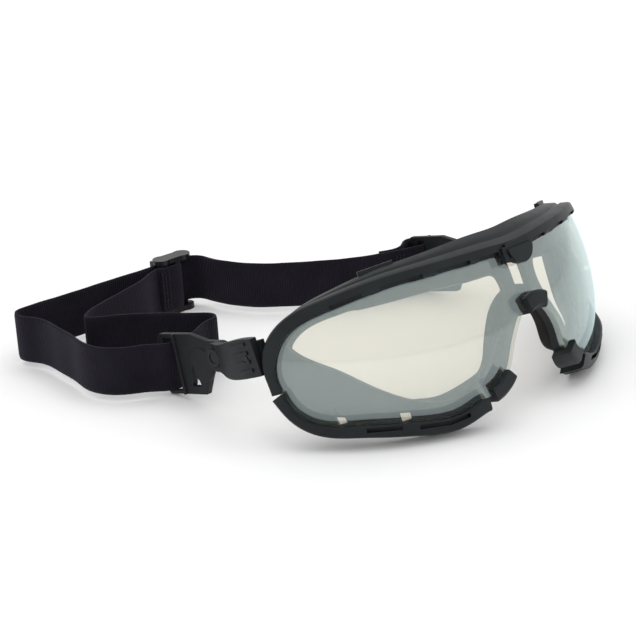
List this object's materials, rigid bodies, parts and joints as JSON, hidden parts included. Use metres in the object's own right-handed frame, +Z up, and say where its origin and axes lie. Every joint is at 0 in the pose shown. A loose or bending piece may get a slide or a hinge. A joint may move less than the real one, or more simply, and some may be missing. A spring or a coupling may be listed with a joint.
{
  "type": "safety goggles",
  "caption": "Wrap-around safety goggles with a light mirrored lens, black frame, soft face seal and an elastic headband with side clips and a slider.",
  "frame": {"origin": "centre of the bounding box on the table plane", "axes": "+X to the wearer's left, +Y from the lens towards the back of the headband, +Z up"},
  "size_m": [0.175, 0.2006, 0.0651],
  "materials": {
    "mirror_lens": "tinted clear polycarbonate with a light silver mirror coating",
    "frame_black": "satin injection-moulded nylon",
    "carrier_grey": "satin moulded, dark grey",
    "seal_rubber": "soft matt thermoplastic rubber",
    "strap_elastic": "woven elastic webbing with fine crosswise ribs",
    "thread_black": "polyester sewing thread",
    "slider_black": "semi-gloss acetal"
  },
  "bodies": {
    "goggles": {"lens": "mirror_lens", "brow_frame": "frame_black", "lower_rail_right": "frame_black", "lower_rail_left": "frame_black", "carrier_frame": "carrier_grey", "nose_clip": "frame_black", "face_seal": "seal_rubber", "arm_right": "frame_black", "arm_left": "frame_black", "arm_lock_pin_right": "frame_black", "arm_lock_pin_left": "frame_black", "clip_pin_right": "frame_black", "clip_pin_left": "frame_black"},
    "headband": {"clip_right": "frame_black", "clip_left": "frame_black", "strap_band": "strap_elastic", "strap_loop": "strap_elastic", "strap_stitching": "thread_black"},
    "slider": {"slider": "slider_black", "slider_stitching": "thread_black"}
  },
  "joints": [
    {"name": "headband_swing", "type": "hinge", "parent": "goggles", "child": "headband", "pos_m": [0.00357, -0.00676, 0.0228], "axis": [1, 0, 0], "range_deg": [0, 60]},
    {"name": "slider_slide", "type": "slide", "parent": "headband", "child": "slider", "axis": [-0.9971, 0.0767, 0], "range_m": [0, 0.03], "deforming": ["strap_loop"]}
  ]
}
